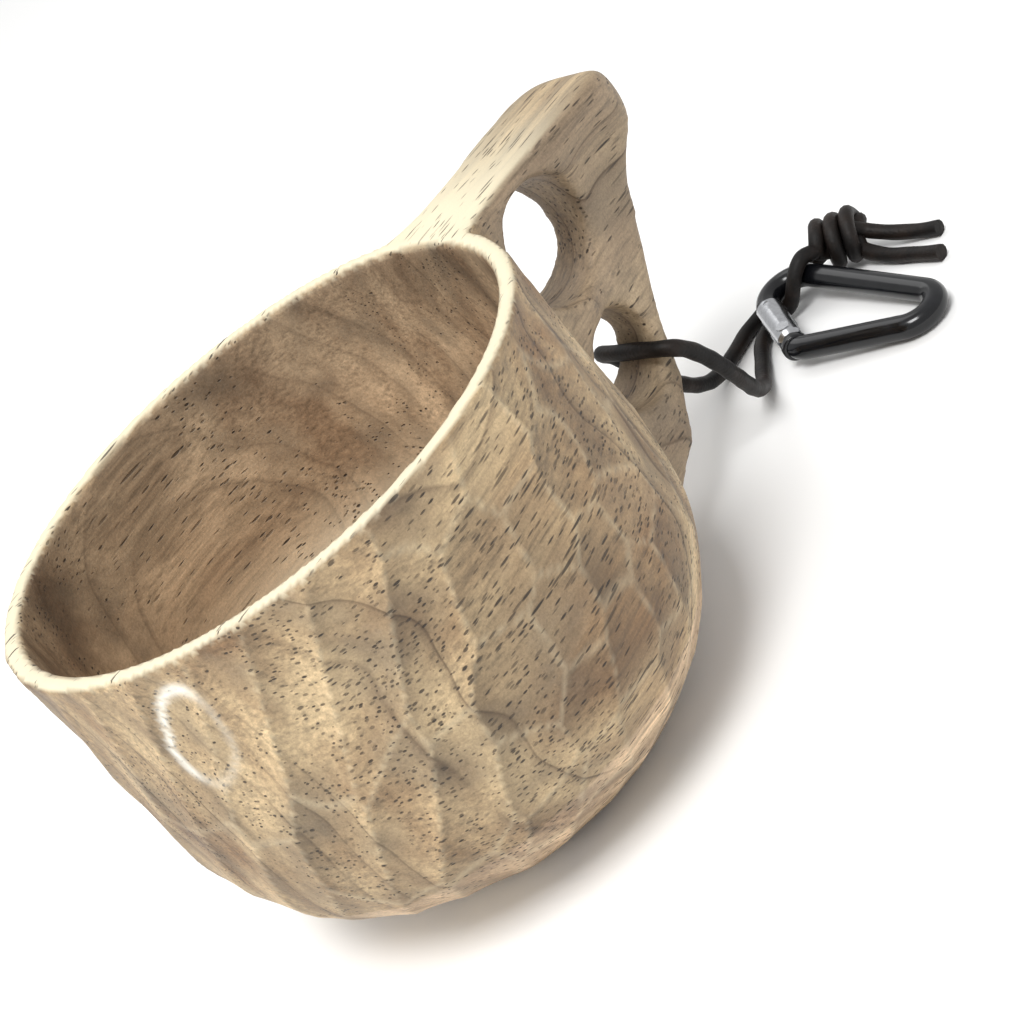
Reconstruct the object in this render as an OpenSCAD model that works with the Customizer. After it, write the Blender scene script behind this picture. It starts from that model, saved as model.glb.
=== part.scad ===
// Carved wooden kuksa cup with two finger holes, a leather lanyard and a small
// spring-gate carabiner. Millimetres. The cup stands on its base at the origin,
// its handle points along +X, and the lanyard lies on the same surface.

/* [Cup] */
// Height from the base to the rim
cup_h = 68; // [66:1:70]
// Outer radius of the rim
rim_r = 45; // [44:0.5:45.5]
// Largest outer radius of the bowl
belly_r = 46.2; // [46:0.1:47]
// Height of the widest point of the bowl
belly_z = 31; // [29:1:32]
// Radius of the curve from the belly down to the base
foot_arc_r = 32.2; // [31.5:0.1:33]
// Thickness of the wall at the rim
wall_t = 3.3; // [2.8:0.1:4]
// Thickness of the bottom
floor_t = 7; // [5:0.5:9]
// Radius of the curve between the inner wall and the bottom
cavity_arc_r = 26; // [20:1:30]
// Chamfer along both edges of the rim
rim_chamfer = 0.5; // [0.2:0.1:0.8]

/* [Handle] */
// Distance from the cup's axis to the tip of the handle
handle_reach = 86.5; // [84:0.5:90]
// Half width of the thumb rest
thumb_half_w = 10.2; // [9:0.2:11]
// Half thickness of the handle at its thinnest
web_half_t = 4; // [3.5:0.1:5]
// Radius of the hollow carved into each side
scoop_r = 35; // [32:1:38]
// Distance from the cup's axis to the middle of the hollow
scoop_x = 72; // [70:1:74]
// Radius of the upper finger hole
upper_hole_r = 10; // [9:0.5:10]
// Distance from the cup's axis to the upper finger hole
upper_hole_x = 56.5; // [56.5:0.5:58]
// Height of the upper finger hole
upper_hole_z = 54.5; // [53:0.5:54.5]
// Radius of the lower finger hole
lower_hole_r = 8.2; // [7.6:0.1:8.4]
// Distance from the cup's axis to the lower finger hole
lower_hole_x = 55; // [54.8:0.1:55.2]
// Height of the lower finger hole
lower_hole_z = 31.5; // [31:0.5:32]

/* [Lanyard] */
// Thickness of the round leather cord
cord_d = 2.8; // [2.6:0.1:2.9]

/* [Carabiner] */
// Thickness of the hook's rod
rod_d = 4.2; // [3.8:0.1:4.4]
// Middle radius of the eye, the narrow end
eye_r = 5; // [5:0.1:5.4]
// Middle radius of the wide end
basket_r = 4.5; // [4:0.1:5]
// Length of the straight back
back_len = 28; // [26:1:30]
// Angle between the back and the lower limb
limb_angle = 24; // [22:1:26]
// Angle between the back and the gate
gate_angle = 28; // [26:1:30]
// Middle radius of the bend at the gate's hinge
hinge_bend_r = 3.5; // [3:0.1:4]

/* [Gate] */
// Outer diameter of the gate
gate_d = 5; // [4.8:0.1:5.2]
// Diameter of the blind bore that holds the spring
gate_bore_d = 3.8; // [3.7:0.05:3.9]
// Diameter of the hinge rivet
rivet_d = 1.6; // [1.4:0.1:1.6]
// Diameter of the pin that latches in the nose
latch_pin_d = 1.2; // [1:0.1:1.2]
// Half width of the hinge tongue
tongue_half_w = 1.6; // [1.5:0.05:1.6]

/* [Hidden] */
$fn = 120;
cut = 0.01;

inner_r = rim_r - wall_t;
rim_arc_r = pow(cup_h - belly_z, 2) / (2 * (belly_r - rim_r));
foot_cx = belly_r - foot_arc_r;

wood = "#b8946c";
leather = "#2b2522";
anodised = "#24262b";
steel = "#c9cbce";

// Places of the lanyard. The loop runs through the lower finger hole, round the
// handle's edge and down to the surface, one strand on each side of the handle.
eye_pos = [100, 6];
hook_turn = -100;
loop_route = [
    [109.8, 4, 6.6], [107.4, 4.3, 7.9], [104.9, 4.9, 8.6], [102.2, 5.6, 7.2], [100.7, 6.7, 4.8],
    [99.9, 8.3, 2.6], [97.6, 11, 1.4], [94, 11.4, 1.4], [90, 9.6, 1.4], [85, 5.8, 1.5],
    [79.5, 1.2, 2.4], [74.5, -3, 6], [70.5, -6.6, 12], [67, -8.6, 19], [64, -8.9, 24.6],
    [61.6, -8.1, 27.4], [60.8, -5.6, 28], [60.8, 0, 28], [60.8, 5.6, 28], [61.6, 8.1, 27.4],
    [64, 9, 24.6], [67, 9.6, 19], [71, 10.6, 12.5], [76, 12.2, 6.4], [82, 14.2, 2.6],
    [89, 15.8, 1.5], [96.5, 16.4, 1.5], [103.5, 14, 2], [108.5, 9.4, 3.4], [111, 6.4, 4.6]];
long_tail_route = [[112.8, 0.4, 3.9], [112.4, -2, 2.6], [112, -6.5, 1.5], [111.6, -12, 1.4], [111.2, -18.5, 1.4]];
short_tail_route = [[115.8, 0.4, 4.9], [116.2, -2, 4], [117, -6, 2.4], [117.8, -10, 1.5], [118.2, -14, 1.4]];
knot_lobes = [[112.4, 3.4, 5, 5], [115, 2.6, 4.7, 4.6]];

// The hook lies with its eye on the cord and its wide end on the surface.
eye_lift = cord_d + 0.4;
hook_lean = asin(eye_lift / (back_len + basket_r + eye_r));
eye_z = rod_d / 2 + (back_len + basket_r) * sin(hook_lean);

// Outline of the hook in its own plane: the eye's centre is the origin, the back
// runs along +X, and the gate closes the side towards -Y.
nose = eye_r * [cos(270 - gate_angle), sin(270 - gate_angle)];
gate_dir = [cos(gate_angle), -sin(gate_angle)];
basket_c = [back_len, eye_r - basket_r];
limb_top = basket_c + basket_r * [cos(90 - limb_angle), -sin(90 - limb_angle)];
limb_dir = -[cos(limb_angle), sin(limb_angle)];
bend_angle = limb_angle + gate_angle;
span = limb_top - nose;
corner_from_limb = (gate_dir[0] * span[1] - gate_dir[1] * span[0])
                   / (gate_dir[1] * limb_dir[0] - gate_dir[0] * limb_dir[1]);
bend_cut = hinge_bend_r * tan(bend_angle / 2);
limb_len = corner_from_limb - bend_cut;
limb_end = limb_top + limb_len * limb_dir;
bend_c = limb_end + hinge_bend_r * [-sin(limb_angle), cos(limb_angle)];
hinge_end = bend_c + hinge_bend_r * [-sin(gate_angle), -cos(gate_angle)];
gate_len = norm(hinge_end - nose);

rivet_x = 3.2;
barrel_dome_r = 3;
barrel_gap = 0.4;
tongue_t = 1.8;
tongue_end = 1.3;
slot_t = 2.2;
rivet_clear = 0.1;
collar_len = 1.5;
nose_tongue_len = 3;
nose_tongue_t = 1.6;
latch_x = gate_len - 1.6;
bore_end = rivet_x + 7.6;
plunger_x = rivet_x + tongue_end + 0.05;
plunger_head = 2.1;
plunger_d = 3.4;
spring_wire = 0.5;
spring_r = 1.4;
spring_turns = 5;
spring_start = plunger_x + plunger_head + 0.05;
spring_len = bore_end - 0.05 - spring_start;

function unit(v) = v / norm(v);
function tangent(p, i) = unit(p[min(i + 1, len(p) - 1)] - p[max(i - 1, 0)]);
// Carries a normal from one ring to the next without twist
function carried(p, i) = i == 0
    ? unit(cross(tangent(p, 0), abs(tangent(p, 0)[2]) < 0.9 ? [0, 0, 1] : [1, 0, 0]))
    : let (before = carried(p, i - 1), t = tangent(p, i)) unit(before - (before * t) * t);
// Points of a smooth curve through the route, with steps between each pair
function smooth(p, steps) = [
    for (i = [0 : len(p) - 2]) for (s = [0 : steps - 1])
        let (u = s / steps, a = p[max(i - 1, 0)], b = p[i], c = p[i + 1], d = p[min(i + 2, len(p) - 1)])
        0.5 * (2 * b + (c - a) * u + (2 * a - 5 * b + 4 * c - d) * u * u
               + (3 * b - a - 3 * c + d) * u * u * u),
    p[len(p) - 1]];

// Round tube along a list of points
module tube(p, d, sides = 8) {
    rings = len(p);
    function ring_point(i, k) = let (t = tangent(p, i), n = carried(p, i), m = cross(t, n), a = 360 * k / sides)
        p[i] + d / 2 * (cos(a) * n + sin(a) * m);
    polyhedron(
        points = [for (i = [0 : rings - 1]) for (k = [0 : sides - 1]) ring_point(i, k)],
        faces = concat(
            [[for (k = [0 : sides - 1]) k]],
            [for (i = [0 : rings - 2]) for (k = [0 : sides - 1])
                let (a = i * sides + k, b = i * sides + (k + 1) % sides)
                each [[a, a + sides, b], [b, a + sides, b + sides]]],
            [[for (k = [sides - 1 : -1 : 0]) (rings - 1) * sides + k]]));
}

// ---- Cup ----

module bowl_profile() {
    intersection() {
        translate([belly_r - rim_arc_r, belly_z]) circle(rim_arc_r, $fn = 900);
        square([belly_r + 1, cup_h]);
        union() {
            translate([0, belly_z]) square([belly_r + 1, cup_h]);
            square([foot_cx, cup_h]);
            translate([foot_cx, belly_z]) circle(foot_arc_r);
        }
    }
}

module cavity_profile() {
    intersection() {
        square([inner_r, cup_h + 1]);
        union() {
            translate([0, floor_t + cavity_arc_r]) square([inner_r, cup_h]);
            translate([0, floor_t]) square([inner_r - cavity_arc_r, cup_h]);
            translate([inner_r - cavity_arc_r, floor_t + cavity_arc_r]) circle(cavity_arc_r);
        }
    }
    // opening chamfer at the rim's inner edge
    polygon([[0, cup_h - rim_chamfer], [inner_r, cup_h - rim_chamfer],
             [inner_r + rim_chamfer, cup_h], [inner_r + rim_chamfer, cup_h + 1], [0, cup_h + 1]]);
}

// Side view of the handle: level top, rounded tip, outer edge running in and
// down to the lower finger hole, then back under the bowl
module handle_side() {
    tip_r = 7;
    edge_r = 130;
    tip = [handle_reach - tip_r, cup_h - tip_r];
    difference() {
        union() {
            polygon([[30, cup_h], [tip[0], cup_h], tip, [handle_reach - 0.6, cup_h - 9], [67.5, 30],
                     [63.2, 20], [56, 13.5], [46, 10], [30, 9]]);
            translate(tip) circle(tip_r);
        }
        // the outer edge is slightly hollow
        translate([76.2 + edge_r * cos(29), 45 - edge_r * sin(29)]) circle(edge_r, $fn = 360);
    }
}

// Top view of the handle: waist next to the rim, widening to a rounded tip
module handle_top() {
    tip_r = thumb_half_w;
    translate([handle_reach - tip_r, 0]) circle(tip_r);
    for (side = [-1, 1]) scale([1, side])
        polygon([[30, 0], [30, 13.5], [42, 11.4], [47, 9.6], [52, 8.9], [58, 8.8],
                 [66, 9.5], [handle_reach - tip_r, tip_r], [handle_reach - tip_r, 0]]);
}

// Hollow carved into one side of the handle, closing in under the thumb rest
module scoop() {
    blend_r = 32;
    blend_z = cup_h - 22;
    translate([scoop_x, -web_half_t - scoop_r, 0]) rotate_extrude() {
        translate([0, -1]) square([scoop_r, blend_z + 1]);
        intersection() {
            translate([0, blend_z]) square([scoop_r, 30]);
            translate([scoop_r - blend_r, blend_z]) circle(blend_r);
        }
    }
}

module handle() {
    difference() {
        intersection() {
            translate([0, 20, 0]) rotate([90, 0, 0]) linear_extrude(40) handle_side();
            linear_extrude(cup_h) handle_top();
        }
        scoop();
        mirror([0, 1, 0]) scoop();
    }
}

module finger_hole(x, z, r) {
    translate([x, 25, z]) rotate([90, 0, 0]) cylinder(r = r, h = 50);
}

module cup_body() {
    color(wood) difference() {
        union() {
            rotate_extrude() bowl_profile();
            handle();
        }
        rotate_extrude() cavity_profile();
        finger_hole(upper_hole_x, upper_hole_z, upper_hole_r);
        finger_hole(lower_hole_x, lower_hole_z, lower_hole_r);
    }
}

// ---- Lanyard ----

module lanyard_cord() {
    color(leather) tube(smooth(loop_route, 2), cord_d);
}

module cord_tail_long() {
    color(leather) tube(long_tail_route, cord_d);
}

module cord_tail_short() {
    color(leather) tube(short_tail_route, cord_d);
}

module lanyard_knot() {
    color(leather) union() {
        for (lobe = knot_lobes) translate([lobe[0], lobe[1], lobe[2]]) sphere(lobe[3]);
    }
}

// ---- Carabiner ----

module in_hook_place() {
    translate([eye_pos[0], eye_pos[1], eye_z]) rotate([0, 0, hook_turn]) rotate([0, hook_lean, 0]) children();
}

// Gate frame: X from the hinge shoulder to the nose, -Y towards the inside
module in_gate_place() {
    in_hook_place() translate([hinge_end[0], hinge_end[1], 0]) rotate([0, 0, 180 - gate_angle]) children();
}

// Bar of a given diameter along +X
module bar(x, length, d) {
    translate([x, 0, 0]) rotate([0, 90, 0]) cylinder(d = d, h = length);
}

// Points along an arc, both ends included
function arc(centre, radius, from, to, steps) = [
    for (i = [0 : steps]) let (a = from + (to - from) * i / steps) [
        centre[0] + radius * cos(a), centre[1] + radius * sin(a), 0]];

// The rod starts and ends inside the collars that the gate closes between
module hook_rod() {
    inside = 0.6;
    nose_end = 270 - gate_angle - inside / eye_r * 180 / PI;
    hinge_stop = -90 - gate_angle + inside / hinge_bend_r * 180 / PI;
    tube(concat(
        arc([0, 0], eye_r, nose_end, 90, 14),
        arc(basket_c, basket_r, 90, limb_angle - 90, 14),
        arc(bend_c, hinge_bend_r, limb_angle - 90, hinge_stop, 5)), rod_d, 20);
}

// Flat lug on the hinge end that the gate turns on
module hinge_tongue() {
    difference() {
        translate([-collar_len, -tongue_half_w, -tongue_t / 2])
            cube([collar_len + rivet_x + tongue_end, 2 * tongue_half_w, tongue_t]);
        translate([rivet_x, 0, -5]) cylinder(d = rivet_d + rivet_clear, h = 10);
    }
}

// Flat lug on the nose with a notch that catches the latch pin
module nose_tongue() {
    notch_w = latch_pin_d + 0.3;
    difference() {
        translate([gate_len - nose_tongue_len, -1.4, -nose_tongue_t / 2])
            cube([nose_tongue_len + collar_len, 3, nose_tongue_t]);
        translate([latch_x, 0, -5]) cylinder(d = notch_w, h = 10);
        translate([latch_x - notch_w / 2, -5, -5]) cube([notch_w, 5, 10]);
    }
}

module carabiner_hook() {
    color(anodised) union() {
        in_hook_place() hook_rod();
        in_gate_place() {
            bar(-collar_len, collar_len, gate_d);
            bar(gate_len, collar_len, rod_d);
            hinge_tongue();
            nose_tongue();
        }
    }
}

module gate_barrel() {
    color(steel) in_gate_place() difference() {
        union() {
            bar(rivet_x, gate_len - barrel_gap - rivet_x, gate_d);
            intersection() {
                bar(rivet_x - barrel_dome_r, barrel_dome_r + 1, gate_d);
                translate([rivet_x, 0, 0]) sphere(barrel_dome_r);
            }
        }
        bar(-1, bore_end + 1, gate_bore_d);
        // slot for the hinge tongue, through both sides
        translate([-1, -5, -slot_t / 2]) cube([rivet_x + 2.4 + 1, 10, slot_t]);
        // slot for the nose tongue, open outwards
        translate([gate_len - nose_tongue_len - 0.4, -1.8, -1]) cube([10, 10, 2]);
        translate([rivet_x, 0, -5]) cylinder(d = rivet_d, h = 10);
        translate([latch_x, 0, -5]) cylinder(d = latch_pin_d, h = 10);
    }
}

module gate_rivet() {
    head_d = 2.4;
    head_z = gate_d / 2 - 0.3;
    color(steel) in_gate_place() translate([rivet_x, 0, 0]) union() {
        translate([0, 0, -head_z]) cylinder(d = rivet_d, h = 2 * head_z);
        for (side = [0, 1]) mirror([0, 0, side]) translate([0, 0, head_z]) cylinder(d = head_d, h = 0.4);
    }
}

module latch_pin() {
    half_len = gate_d / 2 - 0.1;
    color(steel) in_gate_place() translate([latch_x, 0, -half_len]) cylinder(d = latch_pin_d, h = 2 * half_len);
}

module gate_plunger() {
    color(steel) in_gate_place() union() {
        bar(plunger_x, plunger_head, plunger_d);
        bar(plunger_x + plunger_head - cut, 1.3, 1.6);
    }
}

module gate_spring() {
    per_turn = 12;
    steps = spring_turns * per_turn;
    first = spring_start + spring_wire / 2;
    rise = (spring_len - spring_wire) / steps;
    color(steel) in_gate_place() tube([for (i = [0 : steps])
        [first + i * rise, spring_r * cos(i * 360 / per_turn), spring_r * sin(i * 360 / per_turn)]],
        spring_wire, 6);
}

cup_body();
lanyard_cord();
lanyard_knot();
cord_tail_long();
cord_tail_short();
carabiner_hook();
gate_barrel();
gate_rivet();
latch_pin();
gate_plunger();
gate_spring();
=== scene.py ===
import math

import bpy
import numpy as np
from mathutils import Matrix, Vector


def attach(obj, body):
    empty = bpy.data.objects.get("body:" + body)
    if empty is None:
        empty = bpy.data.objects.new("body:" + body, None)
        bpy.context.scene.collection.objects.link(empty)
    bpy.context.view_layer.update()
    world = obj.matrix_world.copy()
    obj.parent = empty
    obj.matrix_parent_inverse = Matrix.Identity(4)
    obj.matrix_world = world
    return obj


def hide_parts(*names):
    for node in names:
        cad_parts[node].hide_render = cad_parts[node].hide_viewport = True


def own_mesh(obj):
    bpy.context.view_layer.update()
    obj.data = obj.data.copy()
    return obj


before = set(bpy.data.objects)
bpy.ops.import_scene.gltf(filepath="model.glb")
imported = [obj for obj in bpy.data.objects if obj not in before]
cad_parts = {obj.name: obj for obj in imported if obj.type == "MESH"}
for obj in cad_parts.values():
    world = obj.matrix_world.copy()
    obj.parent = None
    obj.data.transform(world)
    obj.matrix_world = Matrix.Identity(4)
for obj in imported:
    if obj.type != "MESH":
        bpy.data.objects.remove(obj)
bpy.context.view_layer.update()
mm = 0.001
print("frame loaded:", ", ".join(sorted(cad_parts)))


def deselectAll():
    if bpy.context.mode != "OBJECT":
        bpy.ops.object.mode_set(mode="OBJECT")
    bpy.ops.object.select_all(action="DESELECT")


def pick(*pieces):
    deselectAll()
    for piece in pieces:
        piece.select_set(True)
    bpy.context.view_layer.objects.active = pieces[0]


def applyModifiers(piece):
    pick(piece)
    for name in [modifier.name for modifier in piece.modifiers]:
        bpy.ops.object.modifier_apply(modifier=name)


def applyPlace(piece):  # the piece ends at the origin, unturned and unscaled
    pick(piece)
    bpy.ops.object.transform_apply(location=True, rotation=True, scale=True)


def dress(piece, *materials):
    piece.data.materials.clear()
    for material in materials:
        piece.data.materials.append(material)


def easeStep(low, high, value):
    t = np.clip((value - low) / (high - low), 0, 1)
    return t * t * (3 - 2 * t)


def vertexPlaces(mesh):
    places = np.empty(len(mesh.vertices) * 3)
    mesh.vertices.foreach_get("co", places)
    return places.reshape(-1, 3)


def setPlaces(mesh, places):
    mesh.vertices.foreach_set("co", places.ravel())
    mesh.update()


def keepValues(mesh, name, values):  # a number at each point that a material reads
    layer = mesh.attributes.get(name) or mesh.attributes.new(name, "FLOAT", "POINT")
    layer.data.foreach_set("value", np.asarray(values, np.float32))


cameraView = {
    "place": (-0.11695, -0.25705, 0.17599),
    "right": (0.5359, -0.6244, -0.5683),
    "up": (0.7248, -0.0049, 0.6889),
    "lens": 75.67,
}

bpy.ops.object.camera_add(location=cameraView["place"])
camera = bpy.context.object
camera.name = "camera"
right = Vector(cameraView["right"]).normalized()
up = Vector(cameraView["up"])
up = (up - up.dot(right) * right).normalized()
back = right.cross(up)
turn = Matrix((right, up, back)).transposed()
camera.matrix_world = Matrix.Translation(cameraView["place"]) @ turn.to_4x4()
camera.data.lens = cameraView["lens"]
camera.data.clip_start = 0.01
camera.data.clip_end = 20
bpy.context.scene.camera = camera
print("camera placed")


def toLinear(hexCode):
    parts = [int(hexCode[i:i + 2], 16) / 255 for i in (1, 3, 5)]
    return tuple(c / 12.92 if c <= 0.04045 else ((c + 0.055) / 1.055) ** 2.4 for c in parts) + (1.0,)


def startMaterial(name):
    material = bpy.data.materials.new(name)
    material.use_nodes = True
    return material, material.node_tree.nodes["Principled BSDF"]


def addNode(material, kind, inputs=None, **settings):
    made = material.node_tree.nodes.new("ShaderNode" + kind)
    for key, value in settings.items():
        setattr(made, key, value)
    for socket, value in (inputs or {}).items():
        if isinstance(value, bpy.types.NodeSocket):
            material.node_tree.links.new(value, made.inputs[socket])
        else:
            made.inputs[socket].default_value = value
    return made


def plug(material, output, socket):
    material.node_tree.links.new(output, socket)


# Rubberwood, hand carved and oiled: warm tan ground, brown growth bands, short dark
# pores that run with the grain along the handle, a pale sanded rim whose top also carries a painted highlight
woodLook = {
    "pale": "#c8af88",
    "brown": "#866a4c",
    "band": "#4e3a29",
    "greyPatch": "#5f5549",
    "pore": "#231a13",
    # painted highlight along the crests between scoops
    "ridgeHighlight": "#e6d7b6",
    "rim": "#f0e5c6",
    # pale rim and handle top: sanded wood, with a painted highlight on the up-facing faces
    "handle": "#a3917a",
    "inside": "#e4c7a4",
    "insideDark": "#a08468",
    "ringWidth": 5.6 * mm,
    "ringHeart": (0.0, 0.095, 0.035),  # the tree's middle, well behind the cup
    "pores": (  # cell along the grain, cell across it, radius and share of cells drawn
        (4.2 * mm, 0.68 * mm, 0.27, 1.0),
        (10.5 * mm, 0.86 * mm, 0.28, 1.0),
        (20 * mm, 1.8 * mm, 0.16, 0.8),
    ),
    "paleBand": "#fff3d8",  # painted low on the far inner wall, where light gathers
    # painted highlight: a white oval outline near the rim
    "ovalHighlightColour": "#fffdf2",      # painted oval near the rim
}


def makeWood():
    look = woodLook
    wood, shader = startMaterial("rubberwoodOiled")
    coords = addNode(wood, "TexCoord").outputs["Object"]
    marks = {name: addNode(wood, "Attribute", attribute_name=name).outputs["Fac"]
             for name in ("gougeRidgeHighlight", "gougeShadeAndTone", "rimSandedAndLit", "insideTone", "handleTone", "poreCrowd",
                          "ovalHighlightEdge", "paleBandTone")}

    # slow wander of the grain, about 70 mm long along it and 30 mm across
    wanderPlace = addNode(wood, "Mapping", {"Vector": coords, "Scale": (14, 34, 34)})
    wanderNoise = addNode(wood, "TexNoise", {"Vector": wanderPlace.outputs[0], "Scale": 1.0, "Detail": 2.0})
    wanderMiddle = addNode(wood, "VectorMath", {0: wanderNoise.outputs["Color"], 1: (0.5, 0.5, 0.5)},
                           operation="SUBTRACT")
    wanderSize = addNode(wood, "VectorMath", {0: wanderMiddle.outputs[0], 1: (0.0, 0.009, 0.009)},
                         operation="MULTIPLY")
    grain = addNode(wood, "VectorMath", {0: coords, 1: wanderSize.outputs[0]}).outputs[0]

    # growth rings about an axis along the handle
    heart = look["ringHeart"]
    fromHeart = addNode(wood, "VectorMath", {0: grain, 1: heart}, operation="SUBTRACT")
    acrossOnly = addNode(wood, "VectorMath", {0: fromHeart.outputs[0], 1: (0.04, 1, 1)},
                         operation="MULTIPLY")
    ringRadius = addNode(wood, "VectorMath", {0: acrossOnly.outputs[0]}, operation="LENGTH")
    ringCount = addNode(wood, "Math", {0: ringRadius.outputs["Value"], 1: 1 / look["ringWidth"]},
                        operation="MULTIPLY")
    ringUneven = addNode(wood, "TexNoise", {"W": ringCount.outputs[0], "Scale": 0.7, "Detail": 1.0},
                         noise_dimensions="1D")
    ringShift = addNode(wood, "Math", {0: ringUneven.outputs[0], 1: 1.6, 2: ringCount.outputs[0]},
                        operation="MULTIPLY_ADD")
    ringPart = addNode(wood, "Math", {0: ringShift.outputs[0]}, operation="FRACT")
    ringRamp = addNode(wood, "ValToRGB", {0: ringPart.outputs[0]})
    for position, grey in ((0.045, 0.18), (0.3, 0.0), (0.72, 0.12), (0.93, 0.45)):
        ringRamp.color_ramp.elements.new(position).color = (grey, grey, grey, 1)
    ringRamp.color_ramp.elements[0].color = (1, 1, 1, 1)
    ringRamp.color_ramp.elements[-1].color = (0.95, 0.95, 0.95, 1)
    fadePlace = addNode(wood, "Mapping", {"Vector": grain, "Scale": (13, 85, 42)})
    fadeNoise = addNode(wood, "TexNoise", {"Vector": fadePlace.outputs[0], "Scale": 1.0, "Detail": 3.0})
    ringFade = addNode(wood, "MapRange", {"Value": fadeNoise.outputs[0], "From Min": 0.36, "From Max": 0.62,
                                          "To Min": 0.28, "To Max": 1.0})
    rings = addNode(wood, "Math", {0: ringRamp.outputs[0], 1: ringFade.outputs[0]}, operation="MULTIPLY")

    # fibres, drawn as bundles 0.8 mm wide and 12 mm long: single ones are too fine to show
    fibrePlace = addNode(wood, "Mapping", {"Vector": grain, "Scale": (85, 1250, 1250)})
    fibres = addNode(wood, "TexNoise", {"Vector": fibrePlace.outputs[0], "Scale": 1.0, "Detail": 5.0,
                                        "Roughness": 0.62}).outputs[0]
    # broad stain bands with the grain, 7 mm across and drawn out along the growth rings
    stainPlace = addNode(wood, "Mapping", {"Vector": grain, "Scale": (14, 140, 52)})
    stain = addNode(wood, "TexNoise", {"Vector": stainPlace.outputs[0], "Scale": 1.0, "Detail": 3.0,
                                       "Roughness": 0.55}).outputs[0]
    # fine speckle of cut fibres, 0.4 mm
    speckle = addNode(wood, "TexNoise", {"Vector": coords, "Scale": 2400.0, "Detail": 2.0,
                                         "Roughness": 0.7}).outputs[0]

    # pores: dashes 2 to 6 mm long and 0.4 to 0.6 mm wide, in loose clusters; wider than real
    # ones, so that they show
    crowd = addNode(wood, "TexNoise", {"Vector": stainPlace.outputs[0], "Scale": 0.8, "Detail": 3.0})
    crowdBase = addNode(wood, "MapRange", {"Value": crowd.outputs[0], "From Min": 0.4, "From Max": 0.66,
                                           "To Min": 0.1, "To Max": 0.75})
    crowdOutside = addNode(wood, "Math", {0: marks["poreCrowd"], 1: 0.6, 2: crowdBase.outputs[0]},
                           operation="MULTIPLY_ADD")
    crowdShare = addNode(wood, "Math", {0: marks["insideTone"], 1: -0.22, 2: crowdOutside.outputs[0]},
                         operation="MULTIPLY_ADD")
    pores = []
    for long, wide, radius, share in look["pores"]:
        place = addNode(wood, "Mapping", {"Vector": grain, "Scale": (1 / long, 1 / wide, 1 / wide)})
        cells = addNode(wood, "TexVoronoi", {"Vector": place.outputs[0], "Scale": 1.0, "Randomness": 1.0})
        spot = addNode(wood, "MapRange", {"Value": cells.outputs["Distance"], "From Min": radius * 0.62,
                                          "From Max": radius, "To Min": 1.0, "To Max": 0.0})
        lot = addNode(wood, "SeparateColor", {0: cells.outputs["Color"]})
        limit = addNode(wood, "Math", {0: crowdShare.outputs[0], 1: share}, operation="MULTIPLY")
        drawn = addNode(wood, "Math", {0: lot.outputs[0], 1: limit.outputs[0]}, operation="LESS_THAN")
        dark = addNode(wood, "Math", {0: lot.outputs[1], 1: 0.55, 2: 0.45}, operation="MULTIPLY_ADD")
        kept = addNode(wood, "Math", {0: spot.outputs[0], 1: drawn.outputs[0]}, operation="MULTIPLY")
        pores.append(addNode(wood, "Math", {0: kept.outputs[0], 1: dark.outputs[0]},
                             operation="MULTIPLY").outputs[0])
    allPores = pores[0]
    for more in pores[1:]:
        allPores = addNode(wood, "Math", {0: allPores, 1: more}, operation="MAXIMUM").outputs[0]

    # colour, from the ground up
    ground = addNode(wood, "MapRange", {"Value": stain, "From Min": 0.36, "From Max": 0.66})
    colour = addNode(wood, "MixRGB", {0: ground.outputs[0], 1: toLinear(look["pale"]),
                                      2: toLinear(look["brown"])}).outputs[0]
    insideShare = addNode(wood, "Math", {0: marks["insideTone"], 1: 0.85}, operation="MULTIPLY")
    insideGround = addNode(wood, "MixRGB", {0: ground.outputs[0], 1: toLinear(look["inside"]),
                                            2: toLinear(look["insideDark"])})
    colour = addNode(wood, "MixRGB", {0: insideShare.outputs[0], 1: colour,
                                      2: insideGround.outputs[0]}).outputs[0]
    handleShare = addNode(wood, "Math", {0: marks["handleTone"], 1: 0.65}, operation="MULTIPLY")
    colour = addNode(wood, "MixRGB", {0: handleShare.outputs[0], 1: colour,
                                      2: toLinear(look["handle"])}).outputs[0]
    greyNoise = addNode(wood, "TexNoise", {"Vector": fadePlace.outputs[0], "Scale": 2.1, "Detail": 4.0})
    greyThread = addNode(wood, "Math", {0: fibres, 1: 0.55, 2: greyNoise.outputs[0]},
                         operation="MULTIPLY_ADD")
    greyShare = addNode(wood, "MapRange", {"Value": greyThread.outputs[0], "From Min": 0.76,
                                           "From Max": 1.0, "To Min": 0.0, "To Max": 0.62})
    colour = addNode(wood, "MixRGB", {0: greyShare.outputs[0], 1: colour,
                                      2: toLinear(look["greyPatch"])}).outputs[0]
    bandLimit = addNode(wood, "MapRange", {"Value": marks["insideTone"], "To Min": 0.9, "To Max": 0.42})
    bandShare = addNode(wood, "Math", {0: rings.outputs[0], 1: bandLimit.outputs[0]}, operation="MULTIPLY")
    colour = addNode(wood, "MixRGB", {0: bandShare.outputs[0], 1: colour,
                                      2: toLinear(look["band"])}).outputs[0]
    fibreGrey = addNode(wood, "MapRange", {"Value": fibres, "From Min": 0.3, "From Max": 0.7,
                                           "To Min": 0.58, "To Max": 1.3})
    colour = addNode(wood, "MixRGB", {0: 1.0, 1: colour, 2: fibreGrey.outputs[0]},
                     blend_type="MULTIPLY").outputs[0]
    speckleGrey = addNode(wood, "MapRange", {"Value": speckle, "From Min": 0.3, "From Max": 0.7,
                                             "To Min": 0.82, "To Max": 1.14})
    colour = addNode(wood, "MixRGB", {0: 1.0, 1: colour, 2: speckleGrey.outputs[0]},
                     blend_type="MULTIPLY").outputs[0]
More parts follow.
